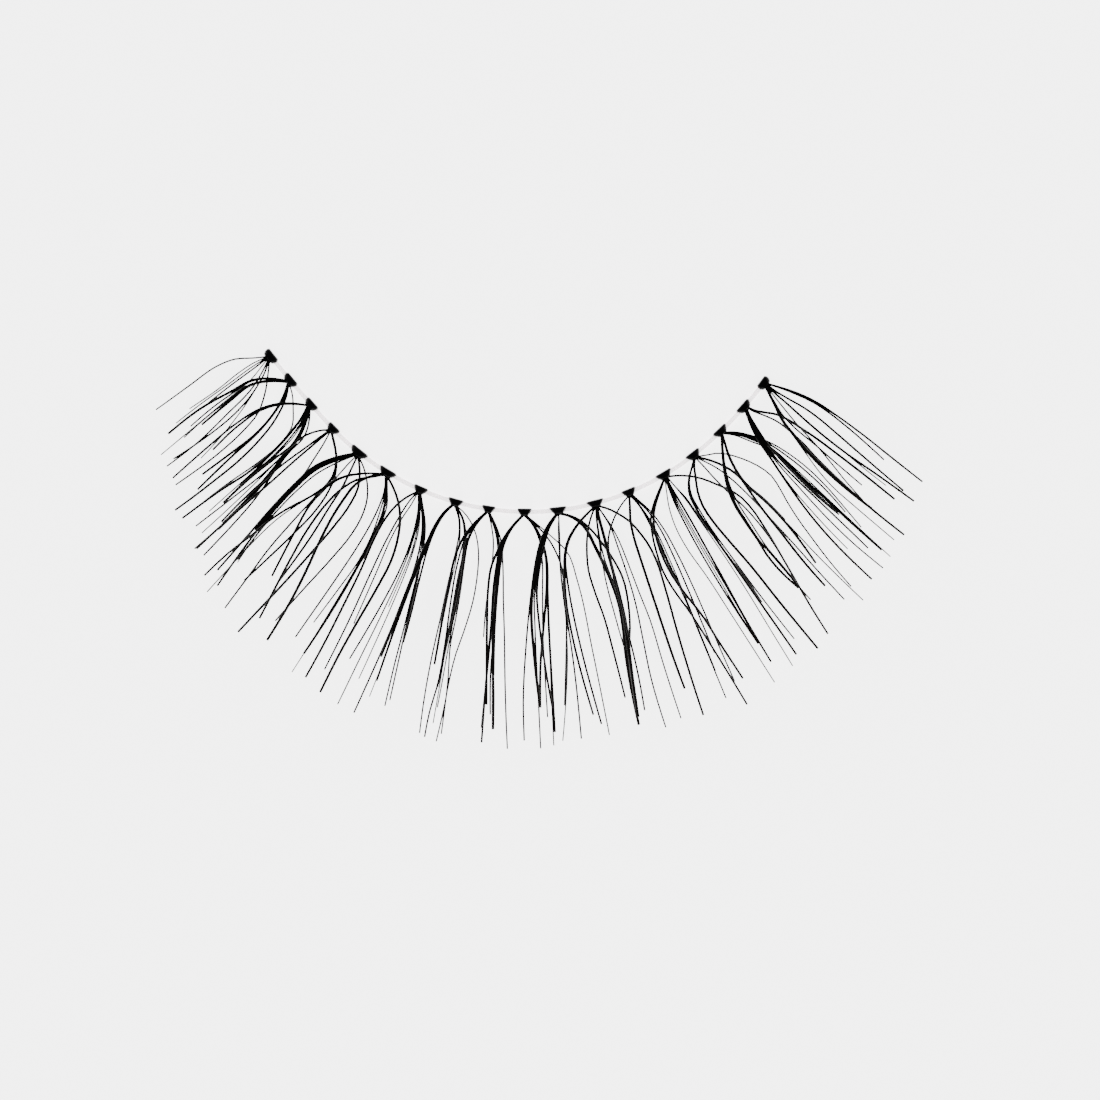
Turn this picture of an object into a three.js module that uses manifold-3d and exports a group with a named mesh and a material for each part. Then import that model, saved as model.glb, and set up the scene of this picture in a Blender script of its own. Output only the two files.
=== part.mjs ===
// False eyelash strip: black fibres in eighteen knotted clusters on one thin clear band.
// Millimetres. The strip lies on the flat soles of its knots, and the tips of the lashes curl up.
// +X runs along the strip, +Y points to the eye side of the band and +Z points up.

import * as THREE from 'three';
import Module from 'manifold-3d';

// The band: a strip of clear film. Its line is a run of arcs from the left end, each with its share of
// the length and its turn in degrees.
const BAND_LENGTH = 29.6;
const BAND_WIDTH = 0.22;
const BAND_THICKNESS = 0.12;
const BAND_START_HEADING = -51.6;
const BAND_STEPS = 48;
const BAND_ARCS = [
  { share: 0.15, turn: 4 },
  { share: 0.70, turn: 88 },
  { share: 0.15, turn: 12.5 },
];
const EYE_ARC = BAND_ARCS[1];

// A knot: glue moulded round the band, wide on the eye side and narrow at the nose, where the lashes
// leave it.
const KNOT_WIDTH = 0.92;
const KNOT_INNER_WALL = 0.05;
const KNOT_NOSE = 0.09;
const KNOT_SOLE = 0.08;
const KNOT_CROWN = 0.14;
const CHANNEL_CLEARANCE = 0.02;

// Half of a knot's outline from the eye side to the nose, as shares of half its width and of its depth:
// first with slanted sides, and then for a knot so full that its sides bulge.
const KNOT_OUTLINE = [
  { half: 0.85, out: 0.00, fullHalf: 0.80, fullOut: -0.04 },
  { half: 1.00, out: 0.14, fullHalf: 0.97, fullOut: 0.25 },
  { half: 0.80, out: 0.46, fullHalf: 0.94, fullOut: 0.62 },
  { half: 0.59, out: 0.80, fullHalf: 0.75, fullOut: 0.94 },
  { half: 0.44, out: 1.00, fullHalf: 0.40, fullOut: 1.08 },
];

// A knot's sections from the sole to the crown, as shares of its height and of its outline.
const KNOT_SECTIONS = [
  { up: 0.00, plan: 0.90 },
  { up: 0.20, plan: 1.00 },
  { up: 0.70, plan: 0.94 },
  { up: 1.00, plan: 0.62 },
];
const KNOT_CENTRE = 0.45;

// The lashes: their longest reach seen from above, the width of one fibre and how they bend and curl.
const LASH_REACH = 12;
const HAIR_DIAMETER = 0.11;
const TIP_SHARE = 0.50;
const CURL_RADIUS = 26;
const BEND_WEIGHT = 3;
const LOCK_STEPS = 7;
const LOCK_SIDES = 3;

// The roots of a knot's locks stand in a row: its height as a share of the knot's, and its width as a
// share of the nose's.
const ROOT_ROW_UP = 0.62;
const ROOT_ROW_WIDTH = 0.80;

// Locks of neighbouring knots cross with this gap between them, and the lowest one clears the ground by
// this much.
const LAYER_GAP = 0.05;
const GROUND_GAP = 0.01;

// Corners nearer than this are made one where a knot and its locks are joined.
const WELD = 0.003;

// One row for each cluster from left to right: where its knot sits as a share of the band, how wide the
// knot is as a share of KNOT_WIDTH, how far it bulges, from 0 to 1, and its locks. A lock is a bundle of
// fibres that leaves the knot towards its bend and then turns to its tip. Its columns are the bend's
// place to the side and outwards and the tip's place to the side and outwards, all as shares of
// LASH_REACH, and how many fibres it holds.
const CLUSTERS = [
  {
    at: 0.000,
    knot: 0.95,
    fullness: 1.0,
    locks: [
      [-0.105, 0.11, -0.120, 0.51, 1],
      [-0.028, 0.12, -0.035, 0.40, 1],
      [-0.005, 0.15, -0.010, 0.53, 1],
      [0.115, 0.15, 0.085, 0.58, 2],
      [0.100, 0.10, 0.155, 0.49, 1],
    ],
  },
  {
    at: 0.052,
    knot: 0.95,
    fullness: 0.8,
    locks: [
      [-0.105, 0.11, -0.115, 0.44, 2],
      [-0.080, 0.11, -0.093, 0.49, 1],
      [0.080, 0.11, 0.070, 0.53, 1],
      [0.115, 0.13, 0.115, 0.71, 1],
      [0.170, 0.12, 0.160, 0.71, 1],
    ],
  },
  {
    at: 0.106,
    knot: 0.90,
    fullness: 0.6,
    locks: [
      [-0.140, 0.13, -0.140, 0.63, 2],
      [-0.105, 0.12, -0.113, 0.64, 1],
      [0.045, 0.17, 0.010, 0.71, 2],
      [0.070, 0.15, 0.070, 0.54, 3],
      [0.085, 0.13, 0.140, 0.62, 3],
      [0.100, 0.12, 0.183, 0.75, 1],
    ],
  },
  {
    at: 0.161,
    knot: 0.82,
    fullness: 0.5,
    locks: [
      [-0.060, 0.10, -0.020, 0.63, 2],
      [-0.030, 0.15, -0.090, 0.54, 1],
      [-0.005, 0.20, -0.030, 0.75, 2],
      [0.060, 0.15, 0.080, 0.50, 1],
      [0.170, 0.14, 0.080, 0.80, 1],
      [0.155, 0.12, 0.235, 0.84, 1],
      [0.155, 0.14, 0.270, 0.60, 1],
    ],
  },
  {
    at: 0.220,
    knot: 1.12,
    fullness: 0.5,
    locks: [
      [-0.135, 0.14, -0.170, 0.79, 1],
      [-0.125, 0.12, -0.120, 0.50, 3],
      [-0.125, 0.13, -0.100, 0.79, 3],
      [0.045, 0.20, 0.080, 0.62, 1],
      [0.130, 0.14, 0.085, 0.89, 2],
      [0.200, 0.14, 0.175, 0.76, 1],
    ],
  },
  {
    at: 0.279,
    knot: 1.08,
    fullness: 0.3,
    locks: [
      [-0.210, 0.12, -0.185, 0.62, 1],
      [-0.155, 0.12, -0.135, 0.78, 1],
      [-0.120, 0.12, -0.055, 0.85, 2],
      [0.060, 0.14, 0.033, 0.78, 1],
      [0.090, 0.15, 0.100, 0.82, 3],
      [0.105, 0.16, 0.160, 0.89, 2],
      [0.210, 0.15, 0.240, 0.92, 3],
    ],
  },
  {
    at: 0.342,
    knot: 0.85,
    fullness: 0.2,
    locks: [
      [-0.105, 0.11, -0.125, 0.90, 2],
      [-0.050, 0.12, -0.060, 0.84, 2],
      [0.060, 0.15, 0.013, 0.76, 1],
      [0.085, 0.14, 0.083, 0.82, 1],
      [0.115, 0.14, 0.120, 0.95, 3],
      [0.110, 0.16, 0.235, 0.85, 2],
    ],
  },
  {
    at: 0.405,
    knot: 0.88,
    fullness: 0.1,
    locks: [
      [-0.065, 0.20, -0.165, 0.95, 1],
      [-0.070, 0.12, -0.125, 0.72, 3],
      [-0.080, 0.13, -0.040, 0.87, 2],
      [0.055, 0.15, 0.110, 0.95, 1],
      [0.090, 0.12, 0.140, 0.97, 3],
      [0.175, 0.13, 0.187, 0.97, 2],
    ],
  },
  {
    at: 0.462,
    knot: 0.78,
    fullness: 0.0,
    locks: [
      [-0.110, 0.13, -0.150, 0.97, 1],
      [-0.095, 0.12, -0.128, 0.67, 2],
      [-0.085, 0.13, -0.120, 0.97, 3],
      [0.050, 0.11, 0.110, 0.80, 2],
      [0.070, 0.12, 0.155, 0.90, 3],
      [0.090, 0.13, 0.225, 0.97, 2],
    ],
  },
  {
    at: 0.523,
    knot: 0.82,
    fullness: 0.1,
    locks: [
      [-0.140, 0.13, -0.150, 0.80, 2],
      [-0.115, 0.12, -0.115, 0.90, 3],
      [-0.090, 0.14, -0.055, 0.98, 2],
      [0.075, 0.13, 0.080, 0.98, 2],
      [0.100, 0.12, 0.135, 0.91, 2],
      [0.170, 0.13, 0.365, 0.92, 1],
    ],
  },
  {
    at: 0.580,
    knot: 0.98,
    fullness: 0.0,
    locks: [
      [-0.120, 0.16, -0.250, 0.95, 1],
      [-0.130, 0.13, -0.165, 0.80, 2],
      [-0.075, 0.14, -0.123, 0.92, 2],
      [0.000, 0.20, 0.100, 0.95, 1],
      [0.170, 0.15, 0.230, 0.92, 3],
      [0.240, 0.16, 0.225, 0.85, 2],
    ],
  },
  {
    at: 0.644,
    knot: 1.00,
    fullness: 0.0,
    locks: [
      [-0.200, 0.14, -0.297, 0.93, 1],
      [-0.200, 0.12, -0.230, 0.84, 2],
      [-0.100, 0.13, -0.083, 0.81, 1],
      [-0.045, 0.15, -0.035, 0.60, 2],
      [-0.010, 0.20, -0.012, 0.88, 2],
      [0.065, 0.13, 0.120, 0.95, 1],
      [0.185, 0.13, 0.213, 0.95, 2],
    ],
  },
  {
    at: 0.704,
    knot: 0.85,
    fullness: 0.1,
    locks: [
      [-0.180, 0.13, -0.280, 0.86, 1],
      [-0.065, 0.11, -0.093, 0.84, 2],
      [0.040, 0.15, 0.052, 0.82, 3],
      [0.070, 0.13, 0.075, 0.75, 2],
      [0.095, 0.15, 0.140, 0.89, 1],
    ],
  },
  {
    at: 0.770,
    knot: 1.00,
    fullness: 0.1,
    locks: [
      [-0.200, 0.14, -0.190, 0.99, 1],
      [-0.150, 0.12, -0.155, 0.75, 1],
      [-0.090, 0.17, -0.045, 0.97, 1],
      [-0.010, 0.20, -0.020, 0.80, 4],
      [0.035, 0.20, 0.053, 0.95, 1],
      [0.030, 0.14, 0.095, 0.92, 3],
      [0.220, 0.17, 0.250, 0.91, 2],
    ],
  },
  {
    at: 0.830,
    knot: 0.94,
    fullness: 0.2,
    locks: [
      [-0.145, 0.12, -0.180, 0.91, 1],
      [-0.140, 0.10, -0.142, 0.85, 2],
      [-0.115, 0.14, -0.095, 0.94, 3],
      [0.035, 0.20, 0.000, 0.70, 1],
      [0.100, 0.13, 0.123, 0.66, 2],
      [0.220, 0.18, 0.175, 0.83, 2],
    ],
  },
  {
    at: 0.891,
    knot: 0.96,
    fullness: 0.3,
    locks: [
      [-0.155, 0.15, -0.225, 0.69, 4],
      [-0.130, 0.17, -0.193, 0.91, 1],
      [-0.085, 0.15, -0.135, 0.76, 2],
      [-0.070, 0.13, -0.095, 0.67, 2],
      [0.105, 0.13, 0.115, 0.58, 4],
      [0.155, 0.15, 0.143, 0.69, 1],
    ],
  },
  {
    at: 0.948,
    knot: 1.00,
    fullness: 0.4,
    locks: [
      [-0.090, 0.16, -0.162, 0.71, 2],
      [-0.075, 0.13, -0.077, 0.59, 4],
      [-0.070, 0.15, -0.075, 0.82, 3],
      [0.100, 0.15, 0.123, 0.72, 2],
    ],
  },
  {
    at: 1.000,
    knot: 0.85,
    fullness: 1.0,
    locks: [
      [-0.100, 0.16, -0.157, 0.84, 2],
      [-0.090, 0.15, -0.150, 0.67, 4],
      [-0.065, 0.16, -0.095, 0.58, 1],
      [-0.020, 0.20, -0.022, 0.79, 2],
      [0.025, 0.20, -0.010, 0.73, 1],
      [0.080, 0.15, 0.067, 0.77, 3],
    ],
  },
];

const LASH_BLACK = { color: 0x0b0a0a, roughness: 0.42, metalness: 0 };
const BAND_CLEAR = { color: 0xf7eff2, roughness: 0.25, metalness: 0, transparent: true, opacity: 0.55 };

const channelWidth = BAND_WIDTH + 2 * CHANNEL_CLEARANCE;
const channelHeight = BAND_THICKNESS + 2 * CHANNEL_CLEARANCE;
const knotDepth = KNOT_INNER_WALL + channelWidth + KNOT_NOSE;
const knotHeight = KNOT_SOLE + channelHeight + KNOT_CROWN;
const knotInnerEdge = -(channelWidth / 2 + KNOT_INNER_WALL);
const knotNoseEdge = knotInnerEdge + knotDepth;
const rootOut = knotNoseEdge - KNOT_NOSE / 2;
const rootHeight = ROOT_ROW_UP * knotHeight;
const eyeRadius = (EYE_ARC.share * BAND_LENGTH) / THREE.MathUtils.degToRad(EYE_ARC.turn);

const wasm = await Module();
wasm.setup();

// Where the band is at a share of its length, and its heading there.
function bandAt(share) {
  const place = new THREE.Vector2();
  let heading = THREE.MathUtils.degToRad(BAND_START_HEADING);
  let start = 0;
  for (const arc of BAND_ARCS) {
    const fullTurn = THREE.MathUtils.degToRad(arc.turn);
    const turn = fullTurn * THREE.MathUtils.clamp((share - start) / arc.share, 0, 1);
    const radius = (arc.share * BAND_LENGTH) / fullTurn;
    place.x += radius * (Math.sin(heading + turn) - Math.sin(heading));
    place.y += radius * (Math.cos(heading) - Math.cos(heading + turn));
    heading += turn;
    start += arc.share;
  }
  return { place, heading };
}

// A closed body over a row of rings with the same number of points each, ordered anticlockwise as seen
// from the last ring, with a flat end on the first and the last.
function skin(rings) {
  const count = rings[0].length;
  const corners = [];
  for (let ring = 0; ring + 1 < rings.length; ring += 1) {
    for (let point = 0; point < count; point += 1) {
      const low = ring * count + point;
      const lowNext = ring * count + ((point + 1) % count);
      corners.push(low, lowNext, lowNext + count, low, lowNext + count, low + count);
    }
  }
  const last = (rings.length - 1) * count;
  for (let point = 1; point + 1 < count; point += 1) {
    corners.push(0, point + 1, point);
    corners.push(last, last + point, last + point + 1);
  }
  const geometry = new THREE.BufferGeometry().setFromPoints(rings.flat());
  geometry.setIndex(corners);
  return geometry;
}

function solidOf(geometry) {
  const vertProperties = new Float32Array(geometry.attributes.position.array);
  const triVerts = new Uint32Array(geometry.index.array);
  return new wasm.Manifold(new wasm.Mesh({ numProp: 3, vertProperties, triVerts }));
}

// Makes corners that nearly meet one. A face that this folds flat is dropped, a pair that it lays back
// to back goes too, and an edge that is left with more than two faces is drawn together in turn.
function weld(corners, triangles) {
  const owner = corners.map((_, index) => index);
  const ownerOf = (index) => (owner[index] === index ? index : ownerOf(owner[index]));
  const join = (from, to) => {
    owner[ownerOf(from)] = ownerOf(to);
  };
  corners.forEach((corner, index) => {
    const near = corners.findIndex((other) => other.distanceTo(corner) < WELD);
    if (near < index) join(index, near);
  });
  for (;;) {
    const faces = new Map();
    for (const triangle of triangles) {
      const face = triangle.map(ownerOf);
      const key = face.toSorted((a, b) => a - b).join();
      if (new Set(face).size < 3) continue;
      if (!faces.delete(key)) faces.set(key, face);
    }
    const facesOnEdge = new Map();
    for (const [a, b, c] of faces.values()) {
      for (const edge of [[a, b], [b, c], [c, a]]) {
        const key = edge.toSorted((p, q) => p - q).join();
        facesOnEdge.set(key, (facesOnEdge.get(key) ?? 0) + 1);
      }
    }
    const crowded = [...facesOnEdge.keys()].filter((key) => facesOnEdge.get(key) > 2);
    if (crowded.length === 0) return [...faces.values()];
    for (const key of crowded) join(...key.split(',').map(Number));
  }
}

function geometryOf(solid) {
  const { vertProperties, triVerts } = solid.getMesh();
  const corners = [];
  for (let at = 0; at < vertProperties.length; at += 3) {
    corners.push(new THREE.Vector3().fromArray(vertProperties, at));
  }
  const triangles = [];
  for (let at = 0; at < triVerts.length; at += 3) {
    triangles.push([...triVerts.subarray(at, at + 3)]);
  }
  const faces = weld(corners, triangles);
  const used = [...new Set(faces.flat())];
  const numbers = new Map(used.map((corner, number) => [corner, number]));
  const geometry = new THREE.BufferGeometry().setFromPoints(used.map((corner) => corners[corner]));
  geometry.setIndex(faces.flat().map((corner) => numbers.get(corner)));
  return geometry;
}

// The band, or the channel round it: the same line with more room on every side and past both ends.
function bandGeometry(room) {
  const halfWidth = BAND_WIDTH / 2 + room;
  const low = KNOT_SOLE + CHANNEL_CLEARANCE - room;
  const high = low + BAND_THICKNESS + 2 * room;
  const rings = [];
  for (let step = 0; step <= BAND_STEPS; step += 1) {
    const { place, heading } = bandAt(step / BAND_STEPS);
    const along = new THREE.Vector2(Math.cos(heading), Math.sin(heading));
    const across = new THREE.Vector2(-along.y, along.x);
    if (step === 0) place.addScaledVector(along, -room);
    if (step === BAND_STEPS) place.addScaledVector(along, room);
    const inner = place.clone().addScaledVector(across, halfWidth);
    const outer = place.clone().addScaledVector(across, -halfWidth);
    rings.push([
      new THREE.Vector3(outer.x, outer.y, high),
      new THREE.Vector3(outer.x, outer.y, low),
      new THREE.Vector3(inner.x, inner.y, low),
      new THREE.Vector3(inner.x, inner.y, high),
    ]);
  }
  return skin(rings);
}

// A knot in its own frame: X along the band, Y to the eye side.
function knotGeometry(width, fullness) {
  const right = KNOT_OUTLINE.map(({ half, out, fullHalf, fullOut }) => {
    const side = THREE.MathUtils.lerp(half, fullHalf, fullness) * (width / 2);
    return [side, THREE.MathUtils.lerp(out, fullOut, fullness)];
  });
  const left = right.map(([side, out]) => [-side, out]);
  const outline = [...right.toReversed(), ...left];
  const rings = KNOT_SECTIONS.map(({ up, plan }) => outline.map(([side, out]) => {
    const outwards = knotInnerEdge + knotDepth * (KNOT_CENTRE + (out - KNOT_CENTRE) * plan);
    return new THREE.Vector3(side * plan, -outwards, up * knotHeight);
  }));
  return skin(rings);
}

// The plan of a lock in its knot's frame: a conic from the root to the tip that is drawn towards the
// bend.
class LockPlan {
  constructor([bendSide, bendOut, tipSide, tipOut, hairs], rootSide) {
    this.root = new THREE.Vector2(rootSide, rootOut);
    this.bend = new THREE.Vector2(bendSide, bendOut).multiplyScalar(LASH_REACH);
    this.tip = new THREE.Vector2(tipSide, tipOut).multiplyScalar(LASH_REACH);
    this.rootRadius = (HAIR_DIAMETER * Math.sqrt(hairs)) / 2;
  }

  at(share) {
    const weights = [(1 - share) ** 2, 2 * share * (1 - share) * BEND_WEIGHT, share ** 2];
    const place = new THREE.Vector2()
      .addScaledVector(this.root, weights[0])
      .addScaledVector(this.bend, weights[1])
      .addScaledVector(this.tip, weights[2]);
    return place.divideScalar(weights[0] + weights[1] + weights[2]);
  }

  radiusAt(share) {
    return this.rootRadius * (1 - (1 - TIP_SHARE) * share);
  }
}

// How far a place in a knot's frame lies outside the arc of the eye, and how high the curl lifts it
// there.
function awayFromEye(place) {
  return Math.hypot(place.x, place.y + eyeRadius) - eyeRadius;
}

function curlHeight(away) {
  return CURL_RADIUS - Math.sqrt(CURL_RADIUS ** 2 - away ** 2);
}

// The locks of a knot, with their roots spread evenly over its nose in the order of the table.
function lockPlans({ knot, locks }) {
  const noseHalf = (KNOT_OUTLINE.at(-1).half * knot * KNOT_WIDTH) / 2;
  return locks.map((row, index) => {
    const place = (2 * index) / (locks.length - 1) - 1;
    return new LockPlan(row, place * noseHalf * ROOT_ROW_WIDTH);
  });
}

const plans = CLUSTERS.map(lockPlans);

// Each cluster's fan slopes down to its right, so that it passes under the fan of the knot on its right.
const spacings = CLUSTERS.slice(1).map((cluster, index) => (cluster.at - CLUSTERS[index].at) * BAND_LENGTH);
const thickest = 2 * Math.max(...plans.flat().map((plan) => plan.rootRadius));
const layerSlope = (thickest + LAYER_GAP) / Math.min(...spacings);

// All the lashes rise from their knots at the least slope that keeps the lowest of them off the ground.
function slopeNeeded(plan, share) {
  const place = plan.at(share);
  const away = awayFromEye(place);
  const lowest = rootHeight + curlHeight(away) - layerSlope * place.x - plan.radiusAt(share);
  return (GROUND_GAP - lowest) / away;
}

const lockShares = Array.from({ length: LOCK_STEPS + 1 }, (_, step) => step / LOCK_STEPS);
const slopesNeeded = plans.flat().flatMap((plan) => {
  return lockShares.slice(1).map((share) => slopeNeeded(plan, share));
});
const riseSlope = Math.max(0, ...slopesNeeded);

function lockGeometry(plan) {
  const centres = lockShares.map((share) => {
    const place = plan.at(share);
    const away = awayFromEye(place);
    const height = rootHeight + curlHeight(away) + riseSlope * away - layerSlope * place.x;
    return new THREE.Vector3(place.x, -place.y, height);
  });
  const rings = centres.map((centre, step) => {
    const before = centres[Math.max(step - 1, 0)];
    const after = centres[Math.min(step + 1, LOCK_STEPS)];
    const along = after.clone().sub(before).normalize();
    const level = new THREE.Vector3(-along.y, along.x, 0).normalize();
    const upwards = along.clone().cross(level);
    const radius = plan.radiusAt(step / LOCK_STEPS);
    return Array.from({ length: LOCK_SIDES }, (_, corner) => {
      const angle = Math.PI / 2 + (2 * Math.PI * corner) / LOCK_SIDES;
      return centre.clone()
        .addScaledVector(level, radius * Math.cos(angle))
        .addScaledVector(upwards, radius * Math.sin(angle));
    });
  });
  return skin(rings);
}

const channel = solidOf(bandGeometry(CHANNEL_CLEARANCE));

// A cluster in its knot's frame: the knot and its locks in one, with the channel for the band cut
// through.
function clusterMesh({ at, knot, fullness }, index) {
  const { place, heading } = bandAt(at);
  const turnBack = [0, 0, -THREE.MathUtils.radToDeg(heading)];
  const ownChannel = channel.translate([-place.x, -place.y, 0]).rotate(turnBack);
  const locks = plans[index].map((plan) => solidOf(lockGeometry(plan)));
  const glue = solidOf(knotGeometry(knot * KNOT_WIDTH, fullness));
  const joined = locks.reduce((whole, lock) => whole.add(lock), glue);
  const geometry = geometryOf(joined.subtract(ownChannel));
  const mesh = new THREE.Mesh(geometry, new THREE.MeshStandardMaterial(LASH_BLACK));
  mesh.name = `lash_cluster_${String(index + 1).padStart(2, '0')}`;
  mesh.position.set(place.x, place.y, 0);
  mesh.rotation.z = heading;
  return mesh;
}

const band = new THREE.Mesh(bandGeometry(0), new THREE.MeshStandardMaterial(BAND_CLEAR));
band.name = 'band';

const strip = new THREE.Group();
strip.add(band, ...CLUSTERS.map(clusterMesh));

// The origin is the middle of the strip's footprint, on the ground.
const bounds = new THREE.Box3().setFromObject(strip, true);
const middle = bounds.getCenter(new THREE.Vector3());
strip.position.set(-middle.x, -middle.y, -bounds.min.z);

const group = new THREE.Group();
group.add(strip);

export default group;
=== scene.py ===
"""A false eyelash strip: a clear band threaded through black glue knots, each with its fan of lashes.

Lengths are in millimetres and are turned into metres when a mesh is made. A cluster's own frame has its
first axis along the band and its second axis outwards, away from the eye.
"""

import logging
import math
from collections.abc import Mapping
from dataclasses import dataclass, field
from enum import Enum
from typing import Any

import bpy
import numpy as np
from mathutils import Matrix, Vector


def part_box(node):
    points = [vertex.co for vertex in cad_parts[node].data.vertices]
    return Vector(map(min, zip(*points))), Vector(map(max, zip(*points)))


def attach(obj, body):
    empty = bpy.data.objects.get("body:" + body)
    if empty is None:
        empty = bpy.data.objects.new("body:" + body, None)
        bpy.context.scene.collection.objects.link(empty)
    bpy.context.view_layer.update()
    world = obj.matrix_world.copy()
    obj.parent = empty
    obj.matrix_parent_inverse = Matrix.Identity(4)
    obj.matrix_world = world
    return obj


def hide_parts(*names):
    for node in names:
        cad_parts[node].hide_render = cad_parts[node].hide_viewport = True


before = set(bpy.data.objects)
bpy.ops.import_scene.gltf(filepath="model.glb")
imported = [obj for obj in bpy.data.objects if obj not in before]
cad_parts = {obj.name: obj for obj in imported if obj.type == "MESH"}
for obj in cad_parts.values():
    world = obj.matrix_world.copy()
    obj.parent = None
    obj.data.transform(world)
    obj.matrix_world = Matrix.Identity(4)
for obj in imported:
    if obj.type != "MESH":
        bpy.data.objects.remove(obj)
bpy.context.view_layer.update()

log = logging.getLogger("lash_strip")

METRES = 0.001
REACH_PARTS = 1000
WHITE = (1.0, 1.0, 1.0, 1.0)

Pair = tuple[float, float]
Colour = tuple[float, float, float]
Values = Mapping[str | int, Any]


class Uneven(Enum):
    """Starting numbers of the chance that makes the listed pieces uneven."""

    FANS = 1207
    KNOTS = 3319


class Build(Enum):
    """How stout a fibre is, as a share of the usual thickness."""

    BOLD = 1.5
    STOUT = 1.18
    SLIM = 0.86
    FINE = 0.66


BOLD, STOUT, SLIM, FINE = Build


@dataclass(frozen=True)
class Lash:
    """One fibre.

    `path` holds the places that it passes, from the knot to the tip, in thousandths of the lashes' reach:
    first to the side along the band, then outwards.
    """

    path: tuple[Pair, ...]
    build: Build = STOUT

    def places(self, reach: float) -> np.ndarray:
        """The path in millimetres, one row for each place, for lashes of that reach."""
        return np.array(self.path) / REACH_PARTS * reach


@dataclass(frozen=True)
class ClusterRow:
    """One cluster, with its lashes from one side to the other.

    `at` is its place as a share of the band, `knot` its knot's width as a share of the usual, and `fullness`
    how far the knot's sides bulge, from 0 for slanted to 1.
    """

    at: float
    knot: float
    fullness: float
    lashes: tuple[Lash, ...]


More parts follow.
